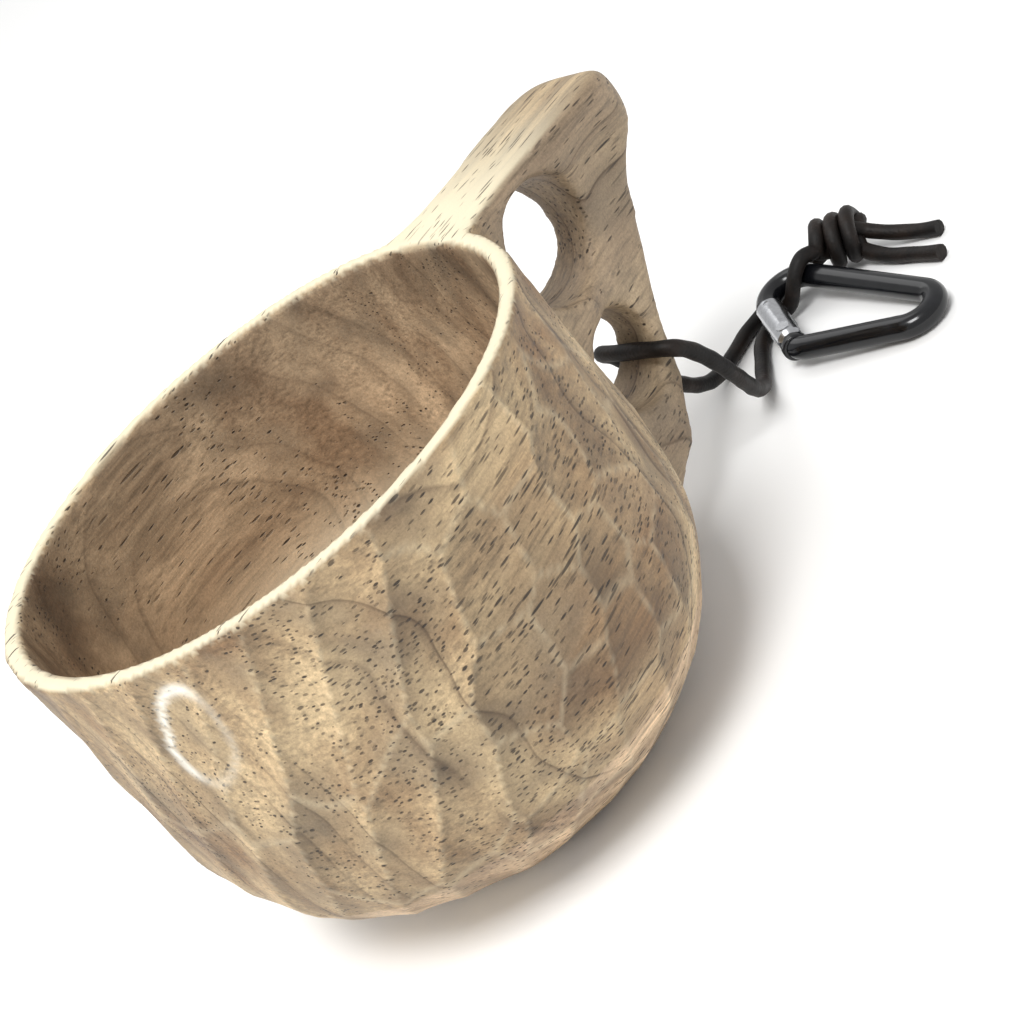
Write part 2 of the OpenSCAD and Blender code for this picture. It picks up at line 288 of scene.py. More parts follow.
    # painted shade and light: a dark and a light wall to each scoop and painted shade inside just under the
    # rim, over a random tone for each stroke
    shadeAndToneGrey = addNode(wood, "MapRange", {"Value": marks["gougeShadeAndTone"], "To Min": 0.52, "To Max": 1.42})
    colour = addNode(wood, "MixRGB", {0: 1.0, 1: colour, 2: shadeAndToneGrey.outputs[0]},
                     blend_type="MULTIPLY").outputs[0]
    # painted highlight along the crests between scoops
    ridgeHighlightShare = addNode(wood, "Math", {0: marks["gougeRidgeHighlight"], 1: 0.22}, operation="MULTIPLY")
    colour = addNode(wood, "MixRGB", {0: ridgeHighlightShare.outputs[0], 1: colour,
                                      2: toLinear(look["ridgeHighlight"])}).outputs[0]
    # pale rim and handle top: sanded wood, with a painted highlight on the up-facing faces
    rimSandedAndLitShare = addNode(wood, "Math", {0: marks["rimSandedAndLit"], 1: 0.86}, operation="MULTIPLY")
    colour = addNode(wood, "MixRGB", {0: rimSandedAndLitShare.outputs[0], 1: colour,
                                      2: toLinear(look["rim"])}).outputs[0]
    bandPaint = addNode(wood, "Math", {0: marks["paleBandTone"], 1: 0.8}, operation="MULTIPLY")
    colour = addNode(wood, "MixRGB", {0: bandPaint.outputs[0], 1: colour,
                                      2: toLinear(look["paleBand"])}).outputs[0]
    poreShare = addNode(wood, "Math", {0: allPores, 1: 0.94}, operation="MULTIPLY")
    colour = addNode(wood, "MixRGB", {0: poreShare.outputs[0], 1: colour,
                                      2: toLinear(look["pore"])}).outputs[0]
    # painted highlight: a white oval outline near the rim
    colour = addNode(wood, "MixRGB", {0: marks["ovalHighlightEdge"], 1: colour,
                                      2: toLinear(look["ovalHighlightColour"])}).outputs[0]
    plug(wood, colour, shader.inputs["Base Color"])

    gloss = addNode(wood, "MapRange", {"Value": fibres, "From Min": 0.3, "From Max": 0.7,
                                       "To Min": 0.5, "To Max": 0.66})
    plug(wood, gloss.outputs[0], shader.inputs["Roughness"])

    # relief: pores 0.2 mm deep, fibres raised 0.05 mm
    rough = addNode(wood, "Math", {0: fibres, 1: 0.5}, operation="MULTIPLY")
    grit = addNode(wood, "Math", {0: speckle, 1: 0.35, 2: rough.outputs[0]}, operation="MULTIPLY_ADD")
    pitted = addNode(wood, "Math", {0: allPores, 1: -1.0, 2: grit.outputs[0]}, operation="MULTIPLY_ADD")
    relief = addNode(wood, "Bump", {"Height": pitted.outputs[0], "Strength": 0.75, "Distance": 0.00022})
    plug(wood, relief.outputs[0], shader.inputs["Normal"])
    shader.inputs["IOR"].default_value = 1.5
    return wood


# Waxed round leather lace, dyed black-brown: dull, finely creased, browner where it is cut
leatherLook = {
    "dark": "#0d0a09", "worn": "#261c16",
    "cut": "#a8804f", "cutDark": "#5c3f28",
    "crease": 0.9 * mm,
}


def makeLeather():
    look = leatherLook
    leather, shader = startMaterial("waxedLeatherLace")
    coords = addNode(leather, "TexCoord").outputs["Object"]
    wear = addNode(leather, "TexNoise", {"Vector": coords, "Scale": 160.0, "Detail": 4.0, "Roughness": 0.65})
    wearShare = addNode(leather, "MapRange", {"Value": wear.outputs[0], "From Min": 0.4, "From Max": 0.72})
    colour = addNode(leather, "MixRGB", {0: wearShare.outputs[0], 1: toLinear(look["dark"]),
                                         2: toLinear(look["worn"])})
    plug(leather, colour.outputs[0], shader.inputs["Base Color"])
    creases = addNode(leather, "TexVoronoi", {"Vector": coords, "Scale": 1 / look["crease"]},
                      feature="DISTANCE_TO_EDGE")
    grainBump = addNode(leather, "Math", {0: creases.outputs["Distance"], 1: 1.4, 2: wear.outputs[0]},
                        operation="MULTIPLY_ADD")
    relief = addNode(leather, "Bump", {"Height": grainBump.outputs[0], "Strength": 0.5, "Distance": 0.00012})
    plug(leather, relief.outputs[0], shader.inputs["Normal"])
    gloss = addNode(leather, "MapRange", {"Value": wear.outputs[0], "To Min": 0.66, "To Max": 0.46})
    plug(leather, gloss.outputs[0], shader.inputs["Roughness"])
    shader.inputs["Specular IOR Level"].default_value = 0.3
    return leather


def makeCutLeather():  # raw fibre at the lace's cut ends
    cut, shader = startMaterial("rawLeatherEnd")
    coords = addNode(cut, "TexCoord").outputs["Object"]
    fuzz = addNode(cut, "TexNoise", {"Vector": coords, "Scale": 2600.0, "Detail": 3.0})
    colour = addNode(cut, "MixRGB", {0: fuzz.outputs[0], 1: toLinear(leatherLook["cutDark"]),
                                     2: toLinear(leatherLook["cut"])})
    plug(cut, colour.outputs[0], shader.inputs["Base Color"])
    shader.inputs["Roughness"].default_value = 0.85
    return cut


# Cast aluminium rod, black anodised and sealed: near black, clean gloss, faint polish marks
anodisedLook = {"black": "#0b0c0f", "dusty": "#1a1b1f"}


def makeAnodised():
    anodised, shader = startMaterial("blackAnodisedAluminium")
    coords = addNode(anodised, "TexCoord").outputs["Object"]
    dust = addNode(anodised, "TexNoise", {"Vector": coords, "Scale": 210.0, "Detail": 5.0, "Roughness": 0.7})
    dustShare = addNode(anodised, "MapRange", {"Value": dust.outputs[0], "From Min": 0.45, "From Max": 0.8})
    colour = addNode(anodised, "MixRGB", {0: dustShare.outputs[0], 1: toLinear(anodisedLook["black"]),
                                          2: toLinear(anodisedLook["dusty"])})
    plug(anodised, colour.outputs[0], shader.inputs["Base Color"])
    gloss = addNode(anodised, "MapRange", {"Value": dust.outputs[0], "From Min": 0.3, "From Max": 0.8,
                                           "To Min": 0.13, "To Max": 0.28})
    plug(anodised, gloss.outputs[0], shader.inputs["Roughness"])
    fine = addNode(anodised, "TexNoise", {"Vector": coords, "Scale": 1600.0, "Detail": 2.0})
    relief = addNode(anodised, "Bump", {"Height": fine.outputs[0], "Strength": 0.12, "Distance": 0.00005})
    plug(anodised, relief.outputs[0], shader.inputs["Normal"])
    return anodised


# Turned steel, nickel plated: bright, with fine lathe lines
steelLook = {"bright": "#d8d9db", "dull": "#9b9da1"}


def makeSteel(name, turned):
    steel, shader = startMaterial(name)
    coords = addNode(steel, "TexCoord").outputs["Object"]
    lines = addNode(steel, "TexNoise", {"Vector": coords, "Scale": turned, "Detail": 4.0, "Roughness": 0.6})
    colour = addNode(steel, "MixRGB", {0: lines.outputs[0], 1: toLinear(steelLook["bright"]),
                                       2: toLinear(steelLook["dull"])})
    plug(steel, colour.outputs[0], shader.inputs["Base Color"])
    gloss = addNode(steel, "MapRange", {"Value": lines.outputs[0], "To Min": 0.12, "To Max": 0.34})
    plug(steel, gloss.outputs[0], shader.inputs["Roughness"])
    relief = addNode(steel, "Bump", {"Height": lines.outputs[0], "Strength": 0.1, "Distance": 0.00003})
    plug(steel, relief.outputs[0], shader.inputs["Normal"])
    shader.inputs["Metallic"].default_value = 1.0
    return steel


woodMaterial = makeWood()
leatherMaterial = makeLeather()
cutLeatherMaterial = makeCutLeather()
anodisedMaterial = makeAnodised()
barrelMaterial = makeSteel("nickelPlatedSteel", 900.0)
pinMaterial = makeSteel("drawnSteelPin", 1500.0)
springMaterial = makeSteel("springSteelWire", 2200.0)
print("materials made")


# All places in millimetres, turned to metres once. The lace runs from one cut end through
# the knot, round the handle through the lower finger hole, back to the knot and out again.
lace = {
    "thickness": 2.8,
    "loop": [
        (109.8, 4, 6.6), (107.4, 4.3, 7.9), (104.9, 4.9, 8.6), (102.2, 5.6, 7.2), (100.7, 6.7, 4.8),
        (99.9, 8.3, 2.6), (97.6, 11, 1.4), (94, 11.4, 1.4), (90, 9.6, 1.4), (85, 5.8, 1.5),
        (79.5, 1.2, 2.4), (74.5, -3, 6), (70.5, -6.6, 12), (67, -8.6, 19), (64, -8.9, 24.6),
        (61.6, -8.1, 27.4), (60.8, -5.6, 28), (60.8, 0, 28), (60.8, 5.6, 28), (61.6, 8.1, 27.4),
        (64, 9, 24.6), (67, 9.6, 19), (71, 10.6, 12.5), (76, 12.2, 6.4), (82, 14.2, 2.6),
        (89, 15.8, 1.5), (96.5, 16.4, 1.5), (103.5, 14, 2), (108.5, 9.4, 3.4), (111, 6.4, 4.6)],
    "longTail": [
        (112.8, 0.4, 3.9), (112.4, -2, 2.6), (112, -6.5, 1.5), (111.6, -12, 1.4), (111.2, -18.5, 1.4)],
    "shortTail": [(115.8, 0.4, 4.9), (116.2, -2, 4), (117, -6, 2.4), (117.8, -10, 1.5), (118.2, -14, 1.4)],
    "knotMiddle": (113.0, 3.0, 5.7),
    "knotAlong": (0.62, -0.77, -0.12),
    "knotHalf": 3.6,     # half length of the wraps
    "knotWraps": 2.5,
    "gap": 0.45,         # between the points of the finished path
    "smoothTurns": 30,
    "wrapWide": 4.5,     # lace centre to the knot's axis, sideways
    "wrapHigh": 3.9,     # the same, up and down
}


def knotPoint(along, side, high):
    axis = Vector(lace["knotAlong"]).normalized()
    sideways = axis.cross(Vector((0, 0, 1))).normalized()
    upwards = sideways.cross(axis)
    return Vector(lace["knotMiddle"]) + along * axis + side * sideways + high * upwards


def knotRoute():  # in by the core, back round the outside, out by the core again
    half, wide, high = lace["knotHalf"], lace["wrapWide"], lace["wrapHigh"]
    points = [knotPoint(half + 0.6, 1.2, -1.1), knotPoint(0, 1.3, -0.9), knotPoint(-half + 0.4, 1.5, -0.6)]
    points.append(knotPoint(-half - 1.0, 3.1, 0.6))
    steps = int(lace["knotWraps"] * 12)
    for i in range(1, steps + 1):
        angle = 0.25 + 2 * math.pi * lace["knotWraps"] * i / steps
        along = -half + 2 * half * i / steps
        points.append(knotPoint(along, wide * math.cos(angle), high * math.sin(angle)))
    points.append(knotPoint(half + 1.3, -2.6, 0.9))
    points += [knotPoint(half - 0.6, -1.3, 0.8), knotPoint(0, -1.3, 0.9), knotPoint(-half - 0.4, -1.2, 1.1)]
    return points


def smoothRoute(points, steps):
    points = [Vector(p) for p in points]
    out = []
    for i in range(len(points) - 1):
        a, b = points[max(i - 1, 0)], points[i]
        c, d = points[i + 1], points[min(i + 2, len(points) - 1)]
        for k in range(steps):
            t = k / steps
            out.append(0.5 * (2 * b + (c - a) * t + (2 * a - 5 * b + 4 * c - d) * t * t
                              + (3 * b - a - 3 * c + d) * t ** 3))
    out.append(points[-1])
    return out


def evenRoute(points, gap):
    lengths = np.cumsum([0] + [(q - p).length for p, q in zip(points, points[1:])])
    wanted = np.linspace(0, lengths[-1], int(lengths[-1] / gap) + 1)
    table = np.array([list(p) for p in points])
    return [Vector(p) for p in np.stack([np.interp(wanted, lengths, table[:, k]) for k in range(3)], axis=1)]


def sweepTube(name, points, thickness, sides):
    curve = bpy.data.curves.new(name, "CURVE")
    curve.dimensions = "3D"
    line = curve.splines.new("POLY")
    line.points.add(len(points) - 1)
    for spot, point in zip(line.points, points):
        spot.co = (*point, 1)
    curve.bevel_depth = thickness / 2
    curve.bevel_resolution = sides
    curve.use_fill_caps = True
    curve.twist_mode = "MINIMUM"
    piece = bpy.data.objects.new(name, curve)
    bpy.context.collection.objects.link(piece)
    pick(piece)
    bpy.ops.object.convert(target="MESH")
    piece = bpy.context.object
    bpy.ops.object.mode_set(mode="EDIT")
    bpy.ops.mesh.select_all(action="SELECT")
    bpy.ops.mesh.remove_doubles(threshold=1e-6)
    bpy.ops.mesh.normals_make_consistent(inside=False)
    bpy.ops.object.mode_set(mode="OBJECT")
    return piece


def makeLace():
    route = list(reversed(lace["longTail"])) + knotRoute() + lace["loop"]
    # the far strand goes into the knot beside the near one and leaves as the short tail
    half = lace["knotHalf"]
    route += [knotPoint(-half + 0.2, 0.4, -0.9), knotPoint(0, 0.1, 1.2), knotPoint(half + 0.2, 0.6, 1.0)]
    route += lace["shortTail"]
    path = evenRoute(smoothRoute([Vector(p) * mm for p in route], 8), lace["gap"] * mm)
    inEye, inHole = Vector((102.2, 6.0, 6.0)) * mm, Vector((61, 0, 27)) * mm  # places it has to keep
    for turn in range(lace["smoothTurns"]):  # eases the corners in the knot and on the floor
        freed = [1 if turn < 6 else float(easeStep(4, 7, (b - inEye).length / mm)
                                          * easeStep(11, 17, (b - inHole).length / mm)) for b in path[1:-1]]
        path = path[:1] + [b.lerp((a + 2 * b + c) / 4, free) for a, b, c, free
                           in zip(path, path[1:], path[2:], freed)] + path[-1:]
    piece = sweepTube("lanyardLace", path, lace["thickness"] * mm, 4)
    # a cut lace is never quite round: small swells and flats, up to 0.08 mm
    places = vertexPlaces(piece.data)
    swell = (np.sin(places @ np.array([410.0, 730.0, 520.0]))
             + np.sin(places @ np.array([-950.0, 380.0, 1210.0]))) * 0.04
    normals = np.empty(len(places) * 3)
    piece.data.vertices.foreach_get("normal", normals)
    places = places + normals.reshape(-1, 3) * (swell * mm)[:, None]
    places[:, 2] = np.maximum(places[:, 2], 0.00003)
    setPlaces(piece.data, places)
    dress(piece, leatherMaterial, cutLeatherMaterial)
    for face in piece.data.polygons:
        face.material_index = 1 if len(face.vertices) > 4 else 0
    pick(piece)
    bpy.ops.object.shade_smooth_by_angle(angle=math.radians(50))
    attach(piece, "lanyard")
    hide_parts("lanyard_cord", "lanyard_knot", "cord_tail_long", "cord_tail_short")


# Millimetres in the hook's own plane: the eye's centre is the origin, the back runs along +X
hook = {
    "eyePlace": (100, 6),
    "turn": -100,
    "lift": 3.2,
    "rod": 4.2,
    "eye": 5,
    "basket": 4.5,
    "back": 28,
    "limbAngle": 24,
    "gateAngle": 28,
    "bend": 3.5,
    "endCut": 6,         # degrees of bend left off at both ends of the rod, by the collars
    "gateThick": 5,
    "collar": 1.5,
    "rivetAt": 3.2, "rivetHole": 1.7,        # along the gate from the hinge shoulder
    "latchBack": 1.6, "latchNotch": 1.5,    # back from the nose shoulder
}


def hookShape():
    eye, basket = hook["eye"], hook["basket"]
    gateTurn, limbTurn = math.radians(hook["gateAngle"]), math.radians(hook["limbAngle"])
    noseAt, limbAt = math.radians(270) - gateTurn, math.pi / 2 - limbTurn
    nose = Vector((eye * math.cos(noseAt), eye * math.sin(noseAt)))
    gateWay = Vector((math.cos(gateTurn), -math.sin(gateTurn)))
    basketMiddle = Vector((hook["back"], eye - basket))
    limbTop = basketMiddle + basket * Vector((math.cos(limbAt), -math.sin(limbAt)))
    limbWay = -Vector((math.cos(limbTurn), math.sin(limbTurn)))
    span = limbTop - nose
    toCorner = (gateWay.x * span.y - gateWay.y * span.x) / (gateWay.y * limbWay.x - gateWay.x * limbWay.y)
    limbEnd = limbTop + (toCorner - hook["bend"] * math.tan((gateTurn + limbTurn) / 2)) * limbWay
    bendMiddle = limbEnd + hook["bend"] * Vector((-math.sin(limbTurn), math.cos(limbTurn)))
    hingeEnd = bendMiddle + hook["bend"] * Vector((-math.sin(gateTurn), -math.cos(gateTurn)))
    return {"basketMiddle": basketMiddle, "bendMiddle": bendMiddle, "hingeEnd": hingeEnd,
            "gateLength": (hingeEnd - nose).length, "limbLength": (limbEnd - limbTop).length}


def hookPlace():
    lean = math.asin(hook["lift"] / (hook["back"] + hook["basket"] + hook["eye"]))
    height = hook["rod"] / 2 + (hook["back"] + hook["basket"]) * math.sin(lean)
    return (Matrix.Translation((hook["eyePlace"][0], hook["eyePlace"][1], height))
            @ Matrix.Rotation(math.radians(hook["turn"]), 4, "Z") @ Matrix.Rotation(lean, 4, "Y"))


def spinRod(middle, turn, steps):  # carries the open end of the rod round a bend
    bpy.ops.mesh.spin(steps=steps, angle=math.radians(turn), center=(middle[0], middle[1], 0),
                      axis=(0, 0, -1))


def runRod(distance, heading):  # and this carries it straight on
    way = Vector((math.cos(math.radians(heading)), math.sin(math.radians(heading)), 0)) * distance
    bpy.ops.mesh.extrude_region_move(TRANSFORM_OT_translate={"value": way})


def bendRod(shape):
    gateTurn, limbTurn = hook["gateAngle"], hook["limbAngle"]
    first = 270 - gateTurn - hook["endCut"]  # the eye's arc starts just past the nose
    start = math.radians(first)
    deselectAll()
    bpy.ops.mesh.primitive_circle_add(
        vertices=36, radius=hook["rod"] / 2, rotation=(math.pi / 2, 0, start),
        location=(hook["eye"] * math.cos(start), hook["eye"] * math.sin(start), 0))
    rod = bpy.context.object
    rod.name = "carabinerHook"
    applyPlace(rod)
    bpy.ops.object.mode_set(mode="EDIT")
    bpy.ops.mesh.select_all(action="SELECT")
    spinRod((0, 0), 90 - first, 64)
    runRod(hook["back"], 0)
    spinRod(shape["basketMiddle"], limbTurn - 180, 48)
    runRod(shape["limbLength"], 180 + limbTurn)
    spinRod(shape["bendMiddle"], hook["endCut"] - gateTurn - limbTurn, 20)
    bpy.ops.mesh.select_all(action="SELECT")
    bpy.ops.mesh.remove_doubles(threshold=1e-5)
    bpy.ops.mesh.select_all(action="DESELECT")
    bpy.ops.mesh.select_non_manifold()
    bpy.ops.mesh.edge_face_add()
    bpy.ops.mesh.select_all(action="SELECT")
    bpy.ops.mesh.normals_make_consistent(inside=False)
    bpy.ops.object.mode_set(mode="OBJECT")
    return rod


def addTongue(name, low, high):  # a small flat lug, in the gate's frame
    bpy.ops.mesh.primitive_cube_add(size=1, location=[(a + b) / 2 for a, b in zip(low, high)])
    tongue = bpy.context.object
    tongue.name = name
    tongue.scale = [b - a for a, b in zip(low, high)]
    applyPlace(tongue)
    return tongue


def cutAway(piece, *cutters):
    for cutter in cutters:
        cut = piece.modifiers.new("cut", "BOOLEAN")
        cut.operation = "DIFFERENCE"
        cut.solver = "EXACT"
        cut.object = cutter
        applyModifiers(piece)
        bpy.data.objects.remove(cutter)
    edges = piece.modifiers.new("edges", "BEVEL")
    edges.width = 0.12
    edges.segments = 2
    edges.limit_method = "ANGLE"
    applyModifiers(piece)


def addDrill(along, thick):
    bpy.ops.mesh.primitive_cylinder_add(vertices=32, radius=thick / 2, depth=10, location=(along, 0, 0))
    applyPlace(bpy.context.object)
    return bpy.context.object


def makeTongues(length):  # one turns on the rivet, the other's notch catches the latch pin
    collar, notch, latch = hook["collar"], hook["latchNotch"], length - hook["latchBack"]
    hinge = addTongue("hingeTongue", (-collar, -1.6, -0.9), (hook["rivetAt"] + 1.3, 1.6, 0.9))
    cutAway(hinge, addDrill(hook["rivetAt"], hook["rivetHole"]))
    nose = addTongue("noseTongue", (length - 3, -1.4, -0.8), (length + collar, 1.6, 0.8))
    cutAway(nose, addDrill(latch, notch),
            addTongue("notch", (latch - notch / 2, -5, -5), (latch + notch / 2, 0, 5)))
    return [hinge, nose]


def addCollar(name, start, length, thick):
    bpy.ops.mesh.primitive_cylinder_add(vertices=48, radius=thick / 2, depth=length,
                                        location=(start + length / 2, 0, 0), rotation=(0, math.pi / 2, 0))
    collar = bpy.context.object
    collar.name = name
    applyPlace(collar)
    bevel = collar.modifiers.new("edges", "BEVEL")
    bevel.width = 0.35
    bevel.segments = 4
    bevel.limit_method = "ANGLE"
    applyModifiers(collar)
    return collar


def gateFrame(shape):  # from the hinge shoulder towards the nose
    return Matrix.Translation((shape["hingeEnd"].x, shape["hingeEnd"].y, 0)) @ Matrix.Rotation(
        math.radians(180 - hook["gateAngle"]), 4, "Z")


def makeHook():
    shape = hookShape()
    rod = bendRod(shape)
    gateTurn = gateFrame(shape)
    length, collar = shape["gateLength"], hook["collar"]
    parts = [addCollar("hingeCollar", -collar, collar, hook["gateThick"]),
             addCollar("noseCollar", length, collar, hook["rod"])] + makeTongues(length)
    for part in parts:
        part.data.transform(gateTurn)
    pick(rod, *parts)
    bpy.ops.object.join()
    piece = bpy.context.object
    piece.data.transform(Matrix.Scale(mm, 4) @ hookPlace())
    piece.name = "carabinerHook"
    pick(piece)
    bpy.ops.object.shade_smooth_by_angle(angle=math.radians(35))
    dress(piece, anodisedMaterial)
    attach(piece, "carabiner")
    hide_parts("carabiner_hook")
    print("carabiner made")


# The gate's spring, inside the barrel between the plunger and the end of the bore; millimetres
# along the gate
spring = {"start": 6.7, "length": 4.05, "coil": 1.4, "wire": 0.5, "turns": 5, "travel": 0.6}


def makeSpring():
    steps = spring["turns"] * 24
    first, rise = spring["start"] + spring["wire"] / 2, spring["length"] - spring["wire"]
    points = [Vector((first + rise * i / steps, spring["coil"] * math.cos(math.tau * i / 24),
                      spring["coil"] * math.sin(math.tau * i / 24))) for i in range(steps + 1)]
    piece = sweepTube("gateSpring", points, spring["wire"], 2)
    place = Matrix.Scale(mm, 4) @ hookPlace() @ gateFrame(hookShape())
    piece.data.transform(place)
    dress(piece, springMaterial)
    pick(piece)
    bpy.ops.object.shade_smooth()
    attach(piece, "gate")
    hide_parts("gate_spring")
    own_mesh(piece)
    print("spring wound")
    return piece


makeHook()
gateSpring = makeSpring()
makeLace()
nodeFinish = {
    "gate_barrel": barrelMaterial, "gate_plunger": barrelMaterial,
    "gate_rivet": pinMaterial, "latch_pin": pinMaterial, "gate_spring": springMaterial,
    "cup_body": woodMaterial, "carabiner_hook": anodisedMaterial,
    "lanyard_cord": leatherMaterial, "lanyard_knot": leatherMaterial,
    "cord_tail_long": leatherMaterial, "cord_tail_short": leatherMaterial,
}
for nodeName, material in nodeFinish.items():
    dress(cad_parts[nodeName], material)
print("CAD nodes dressed")


cup = {
    "height": 68, "rim": 45, "belly": 46.2, "bellyHeight": 31, "footArc": 32.2, "wall": 3.3,
    "meshStep": 0.83,
    "edgeRounds": 2,       # smoothing passes all over
    "handleRounds": 62,    # more on the handle, whose edges are rounded by hand
    "dish": 0.8,           # hollow worn into the thumb rest
    "paleBandHeight": 22, "paleBandSpread": 10,
}

# Gouge strokes on the outside. Long strokes slant down from the rim on the end away from
# the handle, and shorter, broader ones cover the flanks.
gouge = {
    "seed": 11,
    "stripGap": 12.5,      # degrees between long strokes
    "stripTurn": -0.62,    # degrees of turn for each millimetre down
    "stripFrom": -101, "stripTo": -262,
    "stripDowns": (15, 41, 63, 82),
    "stripLength": 38, "stripWidth": 11.5,
    "flankGap": 13.5, "flankDowns": (5, 17, 29, 41, 53, 65, 77, 89),
    "flankFrom": 12, "flankTo": 98,
    "flankLength": 19, "flankWidth": 15,
    "stripSlant": -27, "flankSlant": 20,
    "deep": 1.15,
    "sagAlong": 0.55, "sagAcross": 0.7,    # how far the blade's path and its edge curve
    "ridgeHighlightWidth": 0.06,
    "crowdAngle": -92, "crowdSpread": 38,  # where the pores lie thickest
    "ovalHighlightAngle": -156, "ovalHighlightDown": 12.5, "ovalHighlightHalfLength": 8.5, "ovalHighlightHalfWidth": 4.4, "ovalHighlightSlant": -24,
}


def strokeList():
    rng = np.random.default_rng(gouge["seed"])
    strokes = []  # angle, distance down from the rim, slant, half-length curve, half-width curve, depth, tone

    def add(angle, down, slant, length, width, deep):
        curves = length ** 2 / (8 * gouge["sagAlong"]), width ** 2 / (8 * gouge["sagAcross"])
        strokes.append((angle, down, slant, *curves, deep, rng.random()))

    for k in range(int((gouge["stripFrom"] - gouge["stripTo"]) / gouge["stripGap"]) + 1):
        top = gouge["stripFrom"] - k * gouge["stripGap"] + rng.uniform(-1.5, 1.5)
        for row, down in enumerate(gouge["stripDowns"]):
            down = down + rng.uniform(-5, 5) * (row > 0)
            add(top + gouge["stripTurn"] * down + rng.uniform(-1.5, 1.5), down,
                math.radians(gouge["stripSlant"] + rng.uniform(-6, 6)),
                gouge["stripLength"] * rng.uniform(0.85, 1.15),
                gouge["stripWidth"] * rng.uniform(0.85, 1.15), gouge["deep"] * rng.uniform(0.75, 1.1))
    for side in (-1, 1):
        for row, down in enumerate(gouge["flankDowns"]):
            angle = gouge["flankFrom"] + (row % 2) * gouge["flankGap"] / 2
            while angle < gouge["flankTo"] + side * gouge["stripTurn"] * down:
                add(side * (angle + rng.uniform(-2.5, 2.5)), down + rng.uniform(-3, 3),
                    math.radians(side * gouge["flankSlant"] + rng.uniform(-35, 35)),
                    gouge["flankLength"] * rng.uniform(0.9, 1.4),
                    gouge["flankWidth"] * rng.uniform(0.9, 1.25), gouge["deep"] * rng.uniform(0.7, 0.95))
                angle += gouge["flankGap"] * rng.uniform(0.85, 1.15)
    return strokes


# In millimetres: distance from the cup's axis, gap to the turned outline, distance down the
# outside from the rim, and the inward direction
def bowlCoordinates(places):
    radius = np.hypot(places[:, 0], places[:, 1])
    height = places[:, 2]
    tall = cup["height"] - cup["bellyHeight"]
    rimArc = tall ** 2 / (2 * (cup["belly"] - cup["rim"]))
    upper = height > cup["bellyHeight"]
    arcMiddle = np.where(upper, cup["belly"] - rimArc, cup["belly"] - cup["footArc"])
    arc = np.where(upper, rimArc, cup["footArc"])
    out, rise = radius - arcMiddle, height - cup["bellyHeight"]
    far = np.hypot(out, rise)
    down = np.where(upper, tall - rise, tall + cup["footArc"] * np.arctan2(-rise, out))
    inward = np.stack([-out / far * places[:, 0] / np.maximum(radius, 1e-6),
                       -out / far * places[:, 1] / np.maximum(radius, 1e-6), -rise / far], axis=1)
    return radius, far - arc, down, inward


def carve(places):
    radius, gap, down, inward = bowlCoordinates(places)
    angle = np.degrees(np.arctan2(places[:, 1], places[:, 0]))
    deepest = np.zeros(len(places))
    second = np.zeros(len(places))
    tone = np.full(len(places), 0.5)
    for strokeAngle, strokeDown, slant, lengthCurve, widthCurve, deep, strokeTone in strokeList():
        across = (angle - strokeAngle + 180) % 360 - 180
        sideways = np.radians(across) * radius
        along = down - strokeDown
        u = sideways * math.sin(slant) + along * math.cos(slant)
        v = sideways * math.cos(slant) - along * math.sin(slant)
        depth = deep - u * u / (2 * lengthCurve) - v * v / (2 * widthCurve)
        depth = np.where(np.abs(across) > 90, -1, depth)
        first = depth > deepest
        second = np.where(first, deepest, np.maximum(second, depth))
        # painted, not carved: a dark and a light wall to each scoop, as side light would give
        leaning = np.clip(v / np.sqrt(2 * deep * widthCurve), -1, 1)
        tone = np.where(first, 0.5 + 0.3 * leaning + 0.25 * leaning ** 3 + 0.35 * (strokeTone - 0.5), tone)
        deepest = np.where(first, depth, deepest)
    reach = np.exp(-(gap / 0.55) ** 2) * (gap > -1.2) * easeStep(0.4, 3.0, places[:, 2])
    reach = reach * (0.45 + 0.55 * easeStep(0, 4, down))
    moved = places + inward * (deepest * reach)[:, None]
    # painted highlight along the crests between scoops
    ridgeHighlight = np.exp(-((deepest - second) / gouge["ridgeHighlightWidth"]) ** 2) * reach * (deepest > 0.05)
    # painted highlight: a white oval outline near the rim, with an edge and no depth
    across = np.radians((angle - gouge["ovalHighlightAngle"] + 180) % 360 - 180) * radius
    slant = math.radians(gouge["ovalHighlightSlant"])
    u = across * math.sin(slant) + (down - gouge["ovalHighlightDown"]) * math.cos(slant)
    v = across * math.cos(slant) - (down - gouge["ovalHighlightDown"]) * math.sin(slant)
    size = np.hypot(u / gouge["ovalHighlightHalfLength"], v / gouge["ovalHighlightHalfWidth"])
    wobble = 0.06 * np.sin(3 * np.arctan2(v, u) + 1.0)
    ovalHighlight = np.exp(-((size + wobble - 1) / 0.11) ** 2) * reach * (np.abs(across) < 20)
    faded = v / gouge["ovalHighlightHalfWidth"] + 0.5 * u / gouge["ovalHighlightHalfLength"]
    ovalHighlight = ovalHighlight * (0.25 + 0.75 * easeStep(0.3, -0.5, faded))
    crowdTurn = (angle - gouge["crowdAngle"] + 180) % 360 - 180
    crowd = np.exp(-(crowdTurn / gouge["crowdSpread"]) ** 2) * reach
    return moved, {"gougeRidgeHighlight": ridgeHighlight, "gougeShadeAndTone": 0.5 + (tone - 0.5) * reach, "ovalHighlightEdge": ovalHighlight * 0.85,
                   "poreCrowd": crowd}


